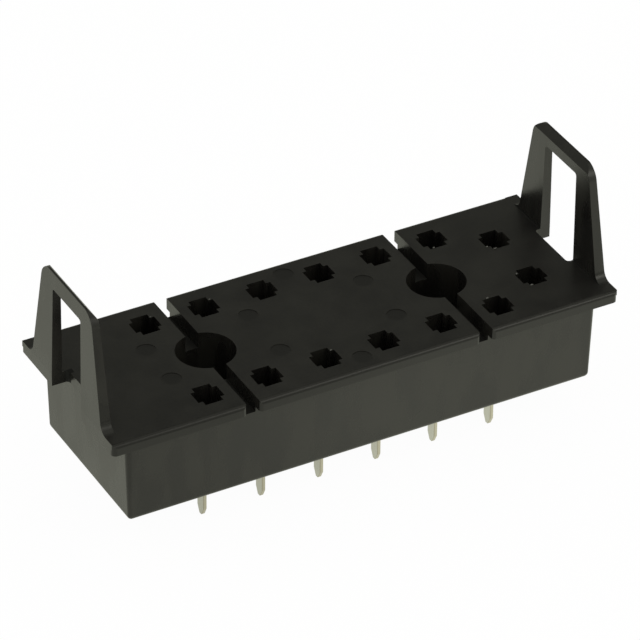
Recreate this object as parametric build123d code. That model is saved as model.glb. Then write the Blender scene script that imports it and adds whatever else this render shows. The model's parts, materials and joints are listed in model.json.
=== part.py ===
from math import radians, tan
import os

from build123d import *

# Relay socket for a printed circuit board. One plastic moulding holds fourteen stamped
# contacts, and a flexible bail at each end snaps over the relay that plugs in from above.
# Millimetres. The origin is the centre of the underside that rests on the board, +Z points
# up to the relay, and +X points along the rows towards the pair of coil contacts.

# Contact layout
contact_pitch = 5.08
contacts_per_row = 6
row_spacing = 10.4
coil_offset = 4.4
coil_spacing = 5.75

# Block and flange
housing_height = 8.25
end_margin = 9.3
side_margin = 2.68
flange_thickness = 1.0
flange_corner_radius = 0.4
flange_edge_radius = 0.38
end_overhang = 1.5
side_overhang = 0.75
draft_angle = 1.6
block_corner_radius = 0.45
block_bottom_radius = 0.45

# Round marks that the mould's ejector pins leave on the top face
pin_mark_diameter = 1.6
pin_mark_depth = 0.04
pin_mark_row_y = 2.64
pin_mark_edge_y = 6.35
pin_mark_end_x = 14.17
pin_mark_end_y = 2.13

# Contact cavities: a cross-shaped entry over a floor with a slot for the tail
blade_slot_width = 1.5
blade_slot_length = 2.36
spring_slot_width = 1.35
spring_slot_length = 2.21
cavity_floor = 1.2
tail_slot_clearance = 0.06

# Fixing holes and the slots that cross them
screw_recess_diameter = 4.76
screw_hole_diameter = 2.8
screw_shoulder_height = 3.2
cross_slot_width = 1.1
cross_slot_depth = 1.42
cross_slot_mouth_radius = 0.3

# Retaining bails: a narrow land along the crown, and a slope inside it that leads the relay in
bail_height = 9.47
bail_foot_width = 11.78
bail_top_width = 8.12
bail_corner_radius = 1.5
bail_foot_radius = 0.9
bail_heel_radius = 0.1
bail_foot_thickness = 0.88
bail_top_thickness = 0.63
bail_draft_angle = 1.4
bail_land_width = 0.18
bail_lead_in_drop = 0.62
bail_crown_radius = 0.07
window_height = 7.97
window_foot_width = 5.0
window_top_width = 4.68
window_corner_radius = 0.25
notch_depth = 1.4
notch_corner_radius = 0.3

# Contacts: one folded strip, a channel below, two leaf springs above, a tail at the bottom
strip_thickness = 0.3
contact_clearance = 0.09
contact_top_depth = 2.2
channel_height = 1.5
channel_bend_radius = 0.42
spring_bend_radius = 0.8
pinch_gap = 0.3
pinch_drop = 1.1
flare_clearance = 0.18
tail_width = 0.95
tail_length = 2.75
tail_tip_width = 0.3
tail_tip_length = 0.65

row_length = (contacts_per_row - 1) * contact_pitch
flange_length = row_length + 2 * end_margin
flange_width = row_spacing + 2 * side_margin
flange_end = flange_length / 2
flange_side = flange_width / 2
flange_underside = housing_height - flange_thickness
block_length = flange_length - 2 * end_overhang
block_width = flange_width - 2 * side_overhang
screw_x = (row_length - contact_pitch) / 2
cheek_x = blade_slot_width / 2 - contact_clearance - strip_thickness / 2
# How far a cutting solid runs past the face that it opens
cut_margin = 1.0


def contact_places():
    """Name and plan position of every contact, front row first."""
    coil_x = row_length / 2 + coil_offset
    places = []
    for row, side in (("front", -1), ("back", 1)):
        for index in range(contacts_per_row):
            x = index * contact_pitch - row_length / 2
            places.append((f"contact_{row}_{index + 1}", x, side * row_spacing / 2))
        places.append((f"coil_contact_{row}", coil_x, side * coil_spacing / 2))
    return places


def at_level(corners, level):
    """Those of a sketch's corners whose own Y is the given level."""
    return corners.filter_by(lambda corner: abs(corner.Y - level) < 1e-6)


def make_block():
    """Drafted block below the flange, with rounded corners and a rounded bottom edge."""
    with BuildPart() as block:
        with BuildSketch(Plane(origin=(0, 0, flange_underside), z_dir=(0, 0, -1))):
            RectangleRounded(block_length, block_width, block_corner_radius)
        extrude(amount=flange_underside, taper=draft_angle)
        fillet(block.edges().group_by(Axis.Z)[0], block_bottom_radius)
    return block.part


def make_flange():
    """Flange plate with rounded corners, and with a radius along its two long upper edges."""
    with BuildPart() as flange:
        with BuildSketch(Plane.XY.offset(flange_underside)):
            RectangleRounded(flange_length, flange_width, flange_corner_radius)
        extrude(amount=flange_thickness)
        with BuildSketch(Plane.YZ):
            with Locations((0, housing_height - flange_thickness / 2)):
                Rectangle(flange_width, flange_thickness)
            fillet(at_level(vertices(), housing_height), flange_edge_radius)
        extrude(amount=flange_length, both=True, mode=Mode.INTERSECT)
    return flange.part


def make_bail_outline(root_depth):
    """Bail seen from the end: a trapezium with a rounded crown and filleted feet."""
    foot = bail_foot_width / 2
    crown = bail_top_width / 2
    skirt = foot + bail_foot_radius * 2
    inner_x = flange_end - bail_foot_thickness * 2
    with BuildPart() as outline:
        with BuildSketch(Plane(origin=(inner_x, 0, housing_height), x_dir=(0, 1, 0), z_dir=(1, 0, 0))):
            with BuildLine():
                Polyline(
                    [
                        (-skirt, -root_depth),
                        (-skirt, 0),
                        (-foot, 0),
                        (-crown, bail_height),
                        (crown, bail_height),
                        (foot, 0),
                        (skirt, 0),
                        (skirt, -root_depth),
                    ],
                    close=True,
                )
            make_face()
            fillet(at_level(vertices(), bail_height), bail_corner_radius)
            fillet(at_level(vertices(), 0).sort_by(Axis.X)[1:3], bail_foot_radius)
        extrude(amount=bail_foot_thickness * 2)
    return outline.part


def make_bail_section(root_depth):
    """Bail seen from the side: it tapers upward, and its crown slopes to guide the relay in."""
    crown_z = housing_height + bail_height
    outer_x = flange_end - bail_height * tan(radians(bail_draft_angle))
    inner_x = flange_end - bail_foot_thickness
    ledge_x = inner_x - bail_heel_radius * 2
    with BuildPart() as section:
        with BuildSketch(Plane.XZ):
            with BuildLine():
                Polyline(
                    [
                        (flange_end, housing_height - root_depth),
                        (flange_end, housing_height),
                        (outer_x, crown_z),
                        (outer_x - bail_land_width, crown_z),
                        (outer_x - bail_top_thickness, crown_z - bail_lead_in_drop),
                        (inner_x, housing_height),
                        (ledge_x, housing_height),
                        (ledge_x, housing_height - root_depth),
                    ],
                    close=True,
                )
            make_face()
            fillet(at_level(vertices(), crown_z), bail_crown_radius)
            fillet(at_level(vertices(), housing_height).sort_by(Axis.X)[1], bail_heel_radius)
        extrude(amount=flange_width, both=True)
    return section.part


def make_bail():
    """Bail at the +X end, where its end outline and its side section meet."""
    root_depth = flange_thickness / 2
    return make_bail_outline(root_depth) & make_bail_section(root_depth)


def make_window():
    """Cut for the bail's window, which runs on down as a notch in the flange's end."""
    notch_x = flange_end - notch_depth
    reach = notch_depth + cut_margin
    with BuildPart() as cut:
        with BuildSketch(Plane(origin=(notch_x, 0, housing_height), x_dir=(0, 1, 0), z_dir=(1, 0, 0))):
            with BuildLine():
                Polyline(
                    [
                        (-window_foot_width / 2, 0),
                        (-window_top_width / 2, window_height),
                        (window_top_width / 2, window_height),
                        (window_foot_width / 2, 0),
                    ],
                    close=True,
                )
            make_face()
            fillet(at_level(vertices(), window_height), window_corner_radius)
        extrude(amount=reach)
        with BuildSketch(Plane.XY.offset(flange_underside - cut_margin)):
            with Locations((notch_x + reach / 2, 0)):
                Rectangle(reach, window_foot_width)
            fillet(vertices().group_by(Axis.X)[0], notch_corner_radius)
        extrude(amount=flange_thickness + cut_margin)
    return cut.part


def make_cross_slot():
    """Slot across the whole width, with rounded mouths where it leaves the flange."""
    mouth_width = cross_slot_width + 4 * cross_slot_mouth_radius
    with BuildPart() as slot:
        with BuildSketch(Plane.XY.offset(housing_height - cross_slot_depth)):
            Rectangle(cross_slot_width, flange_width)
            with Locations((0, flange_side + cut_margin / 2), (0, -flange_side - cut_margin / 2)):
                Rectangle(mouth_width, cut_margin)
            outer_x = mouth_width / 2 - cross_slot_mouth_radius
            fillet(vertices().filter_by(lambda corner: abs(corner.X) < outer_x), cross_slot_mouth_radius)
        extrude(amount=cross_slot_depth + cut_margin)
    return slot.part


def make_screw_hole():
    """Round recess for a screw's head, over a through hole for its shank."""
    recess_height = housing_height - screw_shoulder_height + cut_margin
    recess = extrude(Circle(screw_recess_diameter / 2), amount=recess_height)
    shank = extrude(Circle(screw_hole_diameter / 2), amount=screw_shoulder_height + 2 * cut_margin)
    return Pos(0, 0, screw_shoulder_height) * recess + Pos(0, 0, -cut_margin) * shank


def pin_mark_places():
    """Plan positions of the ejector-pin marks: by the rows, by the long edges and by the -X bail."""
    places = [(x, y) for x in (-contact_pitch, contact_pitch) for y in (-pin_mark_row_y, pin_mark_row_y)]
    places += [(0, y) for y in (-pin_mark_edge_y, pin_mark_edge_y)]
    places += [(-pin_mark_end_x, y) for y in (-pin_mark_end_y, pin_mark_end_y)]
    return places


def make_pin_mark():
    """Cut for one shallow round mark in the top face."""
    mark = extrude(Circle(pin_mark_diameter / 2), amount=pin_mark_depth + cut_margin)
    return Pos(0, 0, housing_height - pin_mark_depth) * mark


def make_cavity():
    """Cross-shaped contact cavity, with the slot in its floor that lets the tail through."""
    blade_slot = Rectangle(blade_slot_width, blade_slot_length)
    spring_slot = Rectangle(spring_slot_length, spring_slot_width)
    well = extrude(blade_slot + spring_slot, amount=housing_height - cavity_floor + cut_margin)
    tail_slot = Rectangle(strip_thickness + 2 * tail_slot_clearance, tail_width + 2 * tail_slot_clearance)
    tail_hole = extrude(tail_slot, amount=cavity_floor + 2 * cut_margin)
    return Pos(0, 0, cavity_floor) * well + Pos(-cheek_x, 0, -cut_margin) * tail_hole


def make_housing():
    """The whole moulding: block, flange and bails, less its windows, slots and holes."""
    housing = make_block() + make_flange()
    bail = make_bail()
    housing += [bail, mirror(bail, about=Plane.YZ)]
    window = make_window()
    cross_slot = make_cross_slot()
    screw_hole = make_screw_hole()
    cavity = make_cavity()
    pin_mark = make_pin_mark()
    cuts = [window, mirror(window, about=Plane.YZ)]
    for x in (-screw_x, screw_x):
        cuts += [Pos(x, 0, 0) * cross_slot, Pos(x, 0, 0) * screw_hole]
    cuts += [Pos(x, y, 0) * cavity for _, x, y in contact_places()]
    cuts += [Pos(x, y, 0) * pin_mark for x, y in pin_mark_places()]
    return housing - cuts


def make_channel():
    """Folded lower part of a contact: two cheeks joined by a web on the +Y side."""
    width = blade_slot_width - 2 * contact_clearance
    depth = blade_slot_length - 2 * contact_clearance
    with BuildPart() as channel:
        with BuildSketch(Plane.XY.offset(cavity_floor)):
            Rectangle(width, depth)
            fillet(vertices().group_by(Axis.Y)[-1], channel_bend_radius)
            with BuildSketch(mode=Mode.SUBTRACT):
                with Locations((0, -strip_thickness)):
                    Rectangle(width - 2 * strip_thickness, depth)
                fillet(vertices().group_by(Axis.Y)[-1], channel_bend_radius - strip_thickness)
        extrude(amount=channel_height)
    return channel.part


def make_leaf():
    """Spring leaf on the +X side: it leans in to the pinch line and flares at its mouth."""
    mouth_z = housing_height - contact_top_depth
    pinch_x = (pinch_gap + strip_thickness) / 2
    mouth_x = spring_slot_length / 2 - flare_clearance - strip_thickness / 2
    leaf_width = spring_slot_width - 2 * contact_clearance
    with BuildPart() as leaf:
        with BuildSketch(Plane.XZ):
            with BuildLine() as path:
                FilletPolyline(
                    (cheek_x, cavity_floor),
                    (cheek_x, cavity_floor + channel_height),
                    (pinch_x, mouth_z - pinch_drop),
                    (mouth_x, mouth_z),
                    radius=spring_bend_radius,
                )
            trace(path.line, line_width=strip_thickness)
        extrude(amount=leaf_width / 2, both=True)
    return leaf.part


def make_tail():
    """Solder tail in line with the cheek on the -X side, narrowed to its tip."""
    half_width = tail_width / 2
    half_tip = tail_tip_width / 2
    shoulder_z = tail_tip_length - tail_length
    face_x = -cheek_x - strip_thickness / 2
    with BuildPart() as tail:
        with BuildSketch(Plane(origin=(face_x, 0, 0), x_dir=(0, 1, 0), z_dir=(1, 0, 0))):
            with BuildLine():
                Polyline(
                    [
                        (-half_width, cavity_floor),
                        (-half_width, shoulder_z),
                        (-half_tip, -tail_length),
                        (half_tip, -tail_length),
                        (half_width, shoulder_z),
                        (half_width, cavity_floor),
                    ],
                    close=True,
                )
            make_face()
        extrude(amount=strip_thickness)
    return tail.part


def make_contact():
    """One contact at the origin: channel, two mirrored leaves and the tail."""
    leaf = make_leaf()
    return make_channel() + [leaf, mirror(leaf, about=Plane.YZ), make_tail()]


os.makedirs("parts", exist_ok=True)
export_step(make_housing(), "parts/housing.step")
contact = make_contact()
for name, x, y in contact_places():
    export_step(Pos(x, y, 0) * contact, f"parts/{name}.step")
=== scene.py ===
import json
import math

import bmesh
import bpy
import numpy as np
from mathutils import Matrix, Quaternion, Vector


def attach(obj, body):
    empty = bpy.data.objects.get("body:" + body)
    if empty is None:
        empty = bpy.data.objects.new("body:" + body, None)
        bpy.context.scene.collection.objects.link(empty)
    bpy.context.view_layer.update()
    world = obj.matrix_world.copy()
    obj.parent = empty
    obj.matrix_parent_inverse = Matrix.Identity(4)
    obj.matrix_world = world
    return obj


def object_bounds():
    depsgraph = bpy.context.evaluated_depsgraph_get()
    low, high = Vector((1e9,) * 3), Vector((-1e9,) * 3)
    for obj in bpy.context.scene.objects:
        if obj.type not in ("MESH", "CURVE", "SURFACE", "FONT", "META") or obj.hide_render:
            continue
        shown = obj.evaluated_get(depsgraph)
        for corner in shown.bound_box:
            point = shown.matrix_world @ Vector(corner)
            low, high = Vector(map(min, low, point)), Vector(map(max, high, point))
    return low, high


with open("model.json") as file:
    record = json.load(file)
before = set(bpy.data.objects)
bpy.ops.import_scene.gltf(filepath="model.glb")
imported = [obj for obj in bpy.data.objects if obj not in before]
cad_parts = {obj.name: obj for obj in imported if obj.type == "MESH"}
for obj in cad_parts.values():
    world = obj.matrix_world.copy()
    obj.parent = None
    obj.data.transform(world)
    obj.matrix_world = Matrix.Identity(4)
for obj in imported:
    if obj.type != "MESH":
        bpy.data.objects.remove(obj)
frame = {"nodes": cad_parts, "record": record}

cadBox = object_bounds()
mm = 0.001  # every size below is in millimetres, every mesh in metres
relayFace = next(mount for mount in frame["record"]["mounts"] if mount["name"] == "relay_face")
topLevel = relayFace["pos_m"][2] / mm  # height of the flange's top face
halfLength, halfWidth = cadBox[1].x / mm, cadBox[1].y / mm  # of the flange, the widest part


# Shared helpers

# Turns an sRGB hex colour into the linear red, green and blue that a shader takes, by sRGB's curve
def linearFromHex(hexText):
    values = np.array([int(hexText[i:i + 2], 16) for i in (1, 3, 5)]) / 255
    linear = np.where(values <= 0.04045, values / 12.92, ((values + 0.055) / 1.055) ** 2.4)
    return (*linear.tolist(), 1.0)


# The way to a point of the sky, with its azimuth in degrees from +Y towards +X
def directionAt(azimuth, elevation):
    turn, rise = math.radians(azimuth), math.radians(elevation)
    return Vector((math.sin(turn) * math.cos(rise), math.cos(turn) * math.cos(rise), math.sin(rise)))


# Adds one node, sets its properties, and fills or links its named or numbered inputs
def addNode(tree, kind, settings=None, inputs=None):
    node = tree.nodes.new(kind)
    for name, value in (settings or {}).items():
        setattr(node, name, value)
    for name, value in (inputs or {}).items():
        if isinstance(value, bpy.types.NodeSocket):
            tree.links.new(value, node.inputs[name])
        else:
            node.inputs[name].default_value = value
    return node


# Empties the node tree of a material or a world, and returns it
def newTree(holder):
    holder.use_nodes = True
    holder.node_tree.nodes.clear()
    return holder.node_tree


# Adds soft round spots to a level: each adds its change at its centre and nothing past its radius
def addSpots(tree, place, level, spots):
    for centre, radius, change in spots:
        away = addNode(tree, "ShaderNodeVectorMath", {"operation": "DISTANCE"},
                       {0: place, 1: centre}).outputs["Value"]
        spot = addNode(tree, "ShaderNodeMapRange", {"interpolation_type": "SMOOTHERSTEP"},
                       {"Value": away, "From Min": 0.0, "From Max": radius,
                        "To Min": change, "To Max": 0.0}).outputs["Result"]
        level = addNode(tree, "ShaderNodeMath", {"operation": "ADD"},
                        {0: spot, 1: level}).outputs[0]
    return level


# A mask of 1 in some boxes and 0 outside them. A box is a span along each of the axes it names
def boxMask(tree, axes, boxes):
    inAny = 0.0
    for box in boxes:
        inBox = 1.0
        for axis, (low, high) in box.items():
            inSpan = addNode(tree, "ShaderNodeMath", {"operation": "COMPARE"},
                             {0: axes[axis], 1: (low + high) / 2 * mm,
                              2: (high - low) / 2 * mm}).outputs[0]
            inBox = addNode(tree, "ShaderNodeMath", {"operation": "MULTIPLY"},
                            {0: inSpan, 1: inBox}).outputs[0]
        inAny = addNode(tree, "ShaderNodeMath", {"operation": "MAXIMUM"},
                        {0: inBox, 1: inAny}).outputs[0]
    return inAny


# Camera: a long lens from the front left, looking down on the flange

cameraValues = {
    "lens": 263.5,
    "sensor": 36.0,
    "clipStart": 10.0,
    "clipEnd": 10000.0,
    "azimuth": 209.008,  # where the camera stands, in degrees from +Y towards +X
    "elevation": 34.725,
    "roll": 0.715,
    "distance": 368.716,  # from the lens to the point in the middle of the picture
    "aim": (2.3685, 4.6157, 4.1823),  # that point
}


def makeCamera(values):
    data = bpy.data.cameras.new("photoCamera")
    data.lens = values["lens"]
    data.sensor_width = values["sensor"]
    data.clip_start = values["clipStart"] * mm
    data.clip_end = values["clipEnd"] * mm
    back = directionAt(values["azimuth"], values["elevation"])
    roll = Quaternion((0, 0, 1), math.radians(values["roll"]))
    camera = bpy.data.objects.new("photoCamera", data)
    camera.rotation_mode = "QUATERNION"
    camera.location = (Vector(values["aim"]) + back * values["distance"]) * mm
    camera.rotation_quaternion = (-back).to_track_quat("-Z", "Y") @ roll
    bpy.context.scene.collection.objects.link(camera)
    bpy.context.scene.camera = camera


makeCamera(cameraValues)
print("stage: camera placed")


# Studio: pale sweep, soft box at the front right, dim room above

studioValues = {
    "whiteHex": "#ffffff",
    "floorSize": 4000.0,
    "floorHex": "#f2f2ee",
    "paperTint": (1.0, 1.02, 0.85),  # what glossy faces see of the paper, against neutral
    "paperShadow": 0.03,  # how much of the real, shadowed floor the camera sees
    "paperLevel": 0.67,
    "paperLightAndShade": [  # painted pools of light and shade on the paper, seen in gloss: centre x, centre y, radius, change of the paper's brightness
        (18.0, -18.0, 50.0, 0.29),
        (52.0, -58.0, 26.0, 0.27),
        (4.0, -16.0, 14.0, 0.06),
        (-24.8, 6.0, 5.0, -0.05),
        (-24.5, 12.0, 4.5, -0.07),
        (-21.3, 3.0, 5.0, 0.09),
        (2.0, -31.0, 18.0, -0.40),
        (0.0, -60.0, 42.0, -0.36),
        (22.0, -108.0, 48.0, -0.32),
        (72.0, -98.0, 40.0, 0.14),
        (6.0, 27.0, 20.0, 0.10),
        (-30.0, 22.0, 16.0, 0.05),
    ],
    "horizonLevel": 0.38,
    "roomLevel": 0.15,
    "roomFrom": 0.0,  # sine of the elevation where the sweep starts to darken
    "roomTo": 0.50,  # and of the one from which on it is dark
    "glows": [  # azimuth, elevation and spread in degrees, change of the room's brightness
        (-29.0, 35.0, 38.0, 0.06),
        (50.0, 33.0, 24.0, -0.04),
        (105.0, 65.0, 35.0, 0.60),
        (155.0, 18.0, 18.0, 0.50),
    ],
    "fillLevel": 0.95,
    "boxDirection": (0.49, -0.70, 0.585),
    "boxDistance": 400.0,
    "boxWidth": 125.0,
    "boxHeight": 160.0,
    "boxRadiance": 2.7,
    "boxColour": (1.0, 0.99, 0.87),  # linear, a little warm
}


# Two switches: 1 for rays from the camera, and 1 for rays off gloss or through glass
def lightPathSees(tree):
    path = addNode(tree, "ShaderNodeLightPath").outputs
    gloss = addNode(tree, "ShaderNodeMath", {"operation": "MAXIMUM"},
                    {0: path["Is Glossy Ray"], 1: path["Is Transmission Ray"]})
    return path["Is Camera Ray"], gloss.outputs[0]


# White with a trace of real shadow to the camera; to gloss a glowing paper with painted pools of
# light and shade, brighter and darker in places, as the faces of the socket show it in the photo;
# plain matt paper to everything else
def makeFloorMaterial(values):
    material = bpy.data.materials.new("matteStudioPaper")
    tree = newTree(material)
    isCamera, isGloss = lightPathSees(tree)
    place = addNode(tree, "ShaderNodeTexCoord").outputs["Object"]
    paperLightAndShade = [((x * mm, y * mm, 0), radius * mm, change) for x, y, radius, change in values["paperLightAndShade"]]
    level = addSpots(tree, place, values["paperLevel"], paperLightAndShade)
    paper = addNode(tree, "ShaderNodeBsdfDiffuse", inputs={"Color": linearFromHex(values["floorHex"])})
    white = addNode(tree, "ShaderNodeEmission", inputs={"Color": linearFromHex(values["whiteHex"])})
    mirrored = addNode(tree, "ShaderNodeEmission",
                       inputs={"Color": (*values["paperTint"], 1), "Strength": level})
    seen = addNode(tree, "ShaderNodeMixShader",
                   inputs={0: values["paperShadow"], 1: white.outputs[0], 2: paper.outputs[0]})
    direct = addNode(tree, "ShaderNodeMixShader",
                     inputs={0: isCamera, 1: paper.outputs[0], 2: seen.outputs[0]})
    surface = addNode(tree, "ShaderNodeMixShader",
                      inputs={0: isGloss, 1: direct.outputs[0], 2: mirrored.outputs[0]})
    addNode(tree, "ShaderNodeOutputMaterial", inputs={"Surface": surface.outputs[0]})
    return material


# A square sheet of paper at the height of the tails' tips
def makeFloor(values):
    half = values["floorSize"] / 2 * mm
    z = cadBox[0].z
    mesh = bpy.data.meshes.new("studioFloor")
    corners = np.array([(-half, -half, z), (half, -half, z), (half, half, z), (-half, half, z)])
    mesh.from_pydata(corners.tolist(), [], [(0, 1, 2, 3)])
    mesh.materials.append(makeFloorMaterial(values))
    floor = bpy.data.objects.new("studioFloor", mesh)
    bpy.context.scene.collection.objects.link(floor)


# White to the camera; to gloss a horizon under a dim room with soft glows; an even fill to matt faces
def makeWorld(values):
    world = bpy.data.worlds.new("studioRoom")
    bpy.context.scene.world = world
    tree = newTree(world)
    isCamera, isGloss = lightPathSees(tree)
    direction = addNode(tree, "ShaderNodeTexCoord").outputs["Generated"]
    height = addNode(tree, "ShaderNodeSeparateXYZ", inputs={0: direction}).outputs["Z"]
    room = addNode(tree, "ShaderNodeMapRange", {"interpolation_type": "SMOOTHSTEP"},
                   {"Value": height, "From Min": values["roomFrom"], "From Max": values["roomTo"],
                    "To Min": values["horizonLevel"], "To Max": values["roomLevel"]}).outputs["Result"]
    # A spread is turned into the straight distance between two directions of length 1
    glows = [(directionAt(azimuth, elevation), 2 * math.sin(math.radians(spread) / 2), change)
             for azimuth, elevation, spread, change in values["glows"]]
    level = addSpots(tree, direction, room, glows)
    white = linearFromHex(values["whiteHex"])
    seen = addNode(tree, "ShaderNodeBackground", inputs={"Color": white})
    fill = addNode(tree, "ShaderNodeBackground", inputs={"Color": white, "Strength": values["fillLevel"]})
    mirrored = addNode(tree, "ShaderNodeBackground",
                       inputs={"Color": (*values["paperTint"], 1), "Strength": level})
    lit = addNode(tree, "ShaderNodeMixShader",
                  inputs={0: isGloss, 1: fill.outputs[0], 2: mirrored.outputs[0]})
    surface = addNode(tree, "ShaderNodeMixShader",
                      inputs={0: isCamera, 1: lit.outputs[0], 2: seen.outputs[0]})
    addNode(tree, "ShaderNodeOutputWorld", inputs={"Surface": surface.outputs[0]})


# One upright lamp; its power is its radiance times pi times its area
def makeSoftBox(values):
    data = bpy.data.lights.new("softBox", "AREA")
    data.shape = "RECTANGLE"
    data.size = values["boxWidth"] * mm
    data.size_y = values["boxHeight"] * mm
    data.color = values["boxColour"]
    data.energy = values["boxRadiance"] * math.pi * data.size * data.size_y
    lamp = bpy.data.objects.new("softBox", data)
    direction = Vector(values["boxDirection"]).normalized()
    lamp.location = direction * values["boxDistance"] * mm
    lamp.rotation_mode = "QUATERNION"
    lamp.rotation_quaternion = (-direction).to_track_quat("-Z", "Y")
    bpy.context.scene.collection.objects.link(lamp)


makeFloor(studioValues)
makeWorld(studioValues)
makeSoftBox(studioValues)
bpy.context.scene.view_settings.view_transform = "Standard"
print("stage: studio lit")


# Housing: black glass-filled PBT, injection moulded. It gives a nearly black body with a satin
# gloss, faint flow streaks down the walls, fine specks from the glass, and duller ejector-pin
# marks. The flange's long rims and a few creases are rougher still, and darker by painted shade

plasticValues = {
    "colour": "#131210",
    "haze": "#1d1c18",
    "markColour": "#0f0e0c",
    # Painted shade: the next two colours darken the flange's long rims and the creases
    "rimShadeColour": "#0b0907",
    "creaseShadeColour": "#040403",
    "roughness": 0.27,
    "topRoughness": 0.38,
    "rimShadeRoughness": 0.34,
    "creaseShadeRoughness": 0.80,
    "ior": 1.5,
    "patterns": {  # sizes along X, Y and Z, and detail
        "streaks": ((2.4, 2.4, 7.0), 2.0),
        "mottle": ((2.4, 2.4, 2.4), 3.0),
        "specks": ((0.20, 0.20, 0.20), 1.0),  # fibre ends are finer, and this is the least that shows
        "grain": ((0.22, 0.22, 0.22), 2.0),  # a mould's eroded grain, drawn coarser so that it shows
    },
    "speckShare": 0.30,
    "grainHeight": 0.003,
    # Inputs of the Map Range nodes; the closer From Min and From Max are, the stronger the pattern
    "topRange": {"From Min": 0.3, "From Max": 0.8},  # from wall to top, by how far a face points up
    "streakRange": {"From Min": 0.38, "From Max": 0.62, "To Min": 0.22, "To Max": 0.78},
    "hazeRange": {"From Min": 0.36, "From Max": 0.64},
    "glossRange": {"From Min": 0.3, "From Max": 0.7, "To Min": -0.04, "To Max": 0.04},
    "marks": [(-5.08, -2.64), (-5.08, 2.64), (5.08, -2.64), (5.08, 2.64),
              (0.0, -6.35), (0.0, 6.35), (-14.17, -2.13), (-14.17, 2.13)],
    "markRadius": 0.8,
    "markSoftness": 0.2,
    # Boxes, as spans along X and Z or of the distance from the middle: end along X, side along Y
    # Painted shade darkens the flange's long rims within these boxes
    "rimShades": [{"side": (halfWidth - 0.28, halfWidth + 0.12), "Z": (topLevel - 0.99, topLevel + 0.01)}],
    "creaseShades": [
        # At the foot of each bail's inner face, painted shade in the crease
        {"end": (halfLength - 0.985, halfLength - 0.875), "Z": (topLevel + 0.01, topLevel + 0.11)},
        # In the inner corners of the left notch, painted shade
        {"X": (-halfLength + 1.08, -halfLength + 1.72), "side": (2.06, 2.60),
         "Z": (topLevel - 0.96, topLevel + 0.01)},
    ],
}


# A mask of 1 on the round ejector-pin marks, which fades to 0 towards their edges
def markMask(tree, place, values):
    nearest = 1.0  # a metre, farther than any mark
    for x, y in values["marks"]:
        away = addNode(tree, "ShaderNodeVectorMath", {"operation": "DISTANCE"},
                       {0: place, 1: (x * mm, y * mm, topLevel * mm)}).outputs["Value"]
        nearest = addNode(tree, "ShaderNodeMath", {"operation": "MINIMUM"},
                          {0: away, 1: nearest}).outputs[0]
    radius = values["markRadius"]
    return addNode(tree, "ShaderNodeMapRange",
                   inputs={"Value": nearest, "From Min": radius * mm,
                           "From Max": (radius - values["markSoftness"]) * mm}).outputs["Result"]


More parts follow.
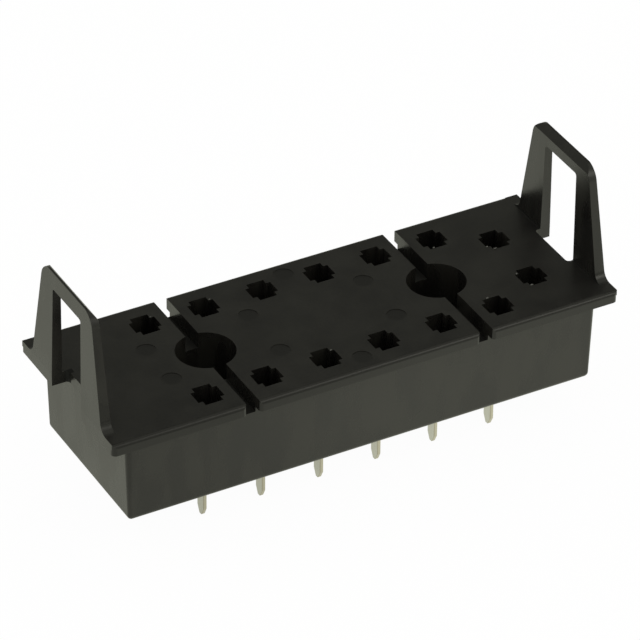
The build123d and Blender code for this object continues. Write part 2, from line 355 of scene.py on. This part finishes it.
# The colour runs from dark to hazy by a pattern: streaks on walls or mottle on tops, and specks on
# both. The roughness follows the streaks or the mottle, and a fine grain gives the bump. Marks
# lie over that, and painted shade darkens the rims and the creases
def makePlastic(name, values):
    material = bpy.data.materials.new(name)
    tree = newTree(material)
    coords = addNode(tree, "ShaderNodeTexCoord").outputs
    place = coords["Object"]
    noise = {}
    for label, (sizes, detail) in values["patterns"].items():
        scaled = addNode(tree, "ShaderNodeMapping", {"vector_type": "POINT"},
                         {"Vector": place, "Scale": [1 / (size * mm) for size in sizes]})
        noise[label] = addNode(tree, "ShaderNodeTexNoise",
                               inputs={"Vector": scaled.outputs["Vector"], "Scale": 1.0,
                                       "Detail": detail}).outputs[0]

    facing = addNode(tree, "ShaderNodeSeparateXYZ", inputs={0: coords["Normal"]}).outputs["Z"]
    isTop = addNode(tree, "ShaderNodeMapRange",
                    inputs={"Value": facing, **values["topRange"]}).outputs["Result"]
    streaks = addNode(tree, "ShaderNodeMapRange",
                      inputs={"Value": noise["streaks"], **values["streakRange"]}).outputs["Result"]
    broad = addNode(tree, "ShaderNodeMix", {"data_type": "FLOAT"},
                    {"Factor": isTop, "A": streaks, "B": noise["mottle"]}).outputs["Result"]
    pattern = addNode(tree, "ShaderNodeMix", {"data_type": "FLOAT"},
                      {"Factor": values["speckShare"], "A": broad,
                       "B": noise["specks"]}).outputs["Result"]
    share = addNode(tree, "ShaderNodeMapRange",
                    inputs={"Value": pattern, **values["hazeRange"]}).outputs["Result"]
    colour = addNode(tree, "ShaderNodeMix", {"data_type": "RGBA"},
                     {"Factor": share, "A": linearFromHex(values["colour"]),
                      "B": linearFromHex(values["haze"])}).outputs["Result"]
    level = addNode(tree, "ShaderNodeMapRange",
                    inputs={"Value": isTop, "To Min": values["roughness"],
                            "To Max": values["topRoughness"]}).outputs["Result"]
    change = addNode(tree, "ShaderNodeMapRange",
                     inputs={"Value": broad, **values["glossRange"]}).outputs["Result"]
    roughness = addNode(tree, "ShaderNodeMath", {"operation": "ADD"},
                        {0: level, 1: change}).outputs[0]

    position = addNode(tree, "ShaderNodeSeparateXYZ", inputs={0: place}).outputs
    axes = {"X": position["X"], "Z": position["Z"]}
    for label, axis in (("end", "X"), ("side", "Y")):
        axes[label] = addNode(tree, "ShaderNodeMath", {"operation": "ABSOLUTE"},
                              {0: position[axis]}).outputs[0]
    masks = {
        "mark": markMask(tree, place, values),
        "rimShade": boxMask(tree, axes, values["rimShades"]),
        "creaseShade": boxMask(tree, axes, values["creaseShades"]),
    }
    # The marks' own darker tone, then painted shade on the rims and in the creases
    for label in ("mark", "rimShade", "creaseShade"):
        colour = addNode(tree, "ShaderNodeMix", {"data_type": "RGBA"},
                         {"Factor": masks[label], "A": colour,
                          "B": linearFromHex(values[label + "Colour"])}).outputs["Result"]
    for label in ("rimShade", "creaseShade"):
        roughness = addNode(tree, "ShaderNodeMix", {"data_type": "FLOAT"},
                            {"Factor": masks[label], "A": roughness,
                             "B": values[label + "Roughness"]}).outputs["Result"]

    bump = addNode(tree, "ShaderNodeBump",
                   inputs={"Strength": 1.0, "Distance": values["grainHeight"] * mm,
                           "Height": noise["grain"]})
    surface = addNode(tree, "ShaderNodeBsdfPrincipled",
                      inputs={"Base Color": colour, "Roughness": roughness, "IOR": values["ior"],
                              "Normal": bump.outputs["Normal"]})
    addNode(tree, "ShaderNodeOutputMaterial", inputs={"Surface": surface.outputs[0]})
    return material


# Contacts: phosphor bronze strip, tin plated, stamped and folded. The plate is a dull pale grey
# with fine drawn lines, and the sheared edges show a little of the warmer bronze

tinValues = {
    "colour": "#c9c8c3",
    "shade": "#b2b1ab",
    "edge": "#c0bbad",
    "torn": "#a8a396",
    "roughness": 0.34,
    "lineSizes": (0.05, 0.05, 2.5),  # real drawing lines are finer, and these are the finest that show
    "lineDetail": 2.0,
    "lineHeight": 0.002,
    "lineStrength": 0.4,
    "pitch": 5.08,
    "tornSpan": (1.79, 1.97),  # across the torn strip of a sheared edge, along X within a pitch
}


# The colour runs between two greys by the drawn lines. Sheared edges, which face along Y, are
# warmer, and the torn strip along them is darker
def makeTin(values):
    material = bpy.data.materials.new("dullTinPlatedBronze")
    tree = newTree(material)
    coords = addNode(tree, "ShaderNodeTexCoord").outputs
    place = coords["Object"]
    scaled = addNode(tree, "ShaderNodeMapping", {"vector_type": "POINT"},
                     {"Vector": place, "Scale": [1 / (size * mm) for size in values["lineSizes"]]})
    lines = addNode(tree, "ShaderNodeTexNoise",
                    inputs={"Vector": scaled.outputs["Vector"], "Scale": 1.0,
                            "Detail": values["lineDetail"]}).outputs[0]
    drawn = addNode(tree, "ShaderNodeMix", {"data_type": "RGBA"},
                    {"Factor": lines, "A": linearFromHex(values["shade"]),
                     "B": linearFromHex(values["colour"])}).outputs["Result"]
    facing = addNode(tree, "ShaderNodeSeparateXYZ", inputs={0: coords["Normal"]}).outputs["Y"]
    sheared = addNode(tree, "ShaderNodeMath", {"operation": "ABSOLUTE"}, {0: facing}).outputs[0]
    edged = addNode(tree, "ShaderNodeMix", {"data_type": "RGBA"},
                    {"Factor": sheared, "A": drawn,
                     "B": linearFromHex(values["edge"])}).outputs["Result"]
    along = addNode(tree, "ShaderNodeSeparateXYZ", inputs={0: place}).outputs["X"]
    within = addNode(tree, "ShaderNodeMath", {"operation": "WRAP"},
                     {0: along, 1: values["pitch"] * mm, 2: 0.0}).outputs[0]
    isTorn = boxMask(tree, {"within": within}, [{"within": values["tornSpan"]}])
    tornShare = addNode(tree, "ShaderNodeMath", {"operation": "MULTIPLY"},
                        {0: isTorn, 1: sheared}).outputs[0]
    colour = addNode(tree, "ShaderNodeMix", {"data_type": "RGBA"},
                     {"Factor": tornShare, "A": edged,
                      "B": linearFromHex(values["torn"])}).outputs["Result"]
    bump = addNode(tree, "ShaderNodeBump",
                   inputs={"Strength": values["lineStrength"], "Distance": values["lineHeight"] * mm,
                           "Height": lines})
    surface = addNode(tree, "ShaderNodeBsdfPrincipled",
                      inputs={"Base Color": colour, "Metallic": 1.0, "Roughness": values["roughness"],
                              "Normal": bump.outputs["Normal"]})
    addNode(tree, "ShaderNodeOutputMaterial", inputs={"Surface": surface.outputs[0]})
    return material


# Gives a CAD node its finish without touching its mesh
def dress(nodeName, material):
    node = frame["nodes"][nodeName]
    if not node.material_slots:
        node.data.materials.append(material)
    for slot in node.material_slots:
        slot.material = material


plastic = makePlastic("blackPbtMoulded", plasticValues)
tin = makeTin(tinValues)
for nodeName in frame["nodes"]:
    dress(nodeName, plastic if nodeName == "housing" else tin)
print("stage: finishes applied")


# Flash: thin flakes of plastic that the mould leaves standing on a few edges of the entries

flashValues = {
    "sink": 0.005,  # how far below the top face a flake is rooted
    "height": 0.13,
    "thickness": 0.022,
    "tilt": 51.0,  # from level, leaning towards +Y
    "places": [  # x, y, length of each flake, all running along X
        (16.52, 1.70, 0.40), (16.06, 2.20, 0.24), (12.25, 4.03, 0.22),
        (16.45, -4.05, 0.30), (16.17, -2.19, 0.22), (12.45, -4.01, 0.28),
        (-1.71, -4.52, 0.22), (-11.92, 5.88, 0.22), (-6.77, 5.88, 0.22),
    ],
    "stepsAlong": 17,
    "stepsAround": 16,
    "mergeDistance": 0.00001,  # joins the points at a flake's two ends, and no others
    # Squeezed thin between polished faces of the mould, a flake is smoother than the body
    "finish": {"roughness": 0.20, "topRoughness": 0.20, "grainHeight": 0.0},
}


# Each flake is a thin ellipse carried along X, where u goes from -1 to 1 along the flake and w goes
# once round the ellipse. The ellipse swells by the square root of one less u to the fourth, which
# is nothing at both ends. Its way out from the root is the height times half of one less the cosine
# of w, its way aside is half the thickness times the sine of w, and the tilt turns both into y and z
def makeFlash(values, material):
    places = np.array(values["places"])[:, None, None, :]
    u = np.linspace(-1, 1, values["stepsAlong"])[None, :, None]
    w = np.linspace(0, 2 * np.pi, values["stepsAround"], endpoint=False)[None, None, :]
    swell = np.sqrt(1 - u ** 4)
    out = values["height"] * (1 - np.cos(w)) / 2 * swell
    aside = values["thickness"] / 2 * np.sin(w) * swell
    tilt = math.radians(values["tilt"])
    x = places[..., 0] + places[..., 2] / 2 * u
    y = places[..., 1] + out * math.cos(tilt) - aside * math.sin(tilt)
    z = topLevel - values["sink"] + out * math.sin(tilt) + aside * math.cos(tilt)
    points = np.stack(np.broadcast_arrays(x, y, z), axis=-1) * mm
    index = np.arange(points[..., 0].size).reshape(points.shape[:3])
    here, beside = index[:, :-1], index[:, 1:]
    faces = np.stack([here, beside, np.roll(beside, -1, axis=2), np.roll(here, -1, axis=2)], axis=-1)
    mesh = bpy.data.meshes.new("entryFlash")
    mesh.from_pydata(points.reshape(-1, 3).tolist(), [], faces.reshape(-1, 4).tolist())
    shape = bmesh.new()
    shape.from_mesh(mesh)
    bmesh.ops.remove_doubles(shape, verts=shape.verts, dist=values["mergeDistance"] * mm)
    bmesh.ops.recalc_face_normals(shape, faces=shape.faces)
    shape.to_mesh(mesh)
    shape.free()
    mesh.polygons.foreach_set("use_smooth", [True] * len(mesh.polygons))
    mesh.materials.append(material)
    piece = bpy.data.objects.new("entryFlash", mesh)
    bpy.context.scene.collection.objects.link(piece)
    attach(piece, "root")


makeFlash(flashValues, makePlastic("blackPbtFlash", {**plasticValues, **flashValues["finish"]}))
print("stage: flash on the entries")
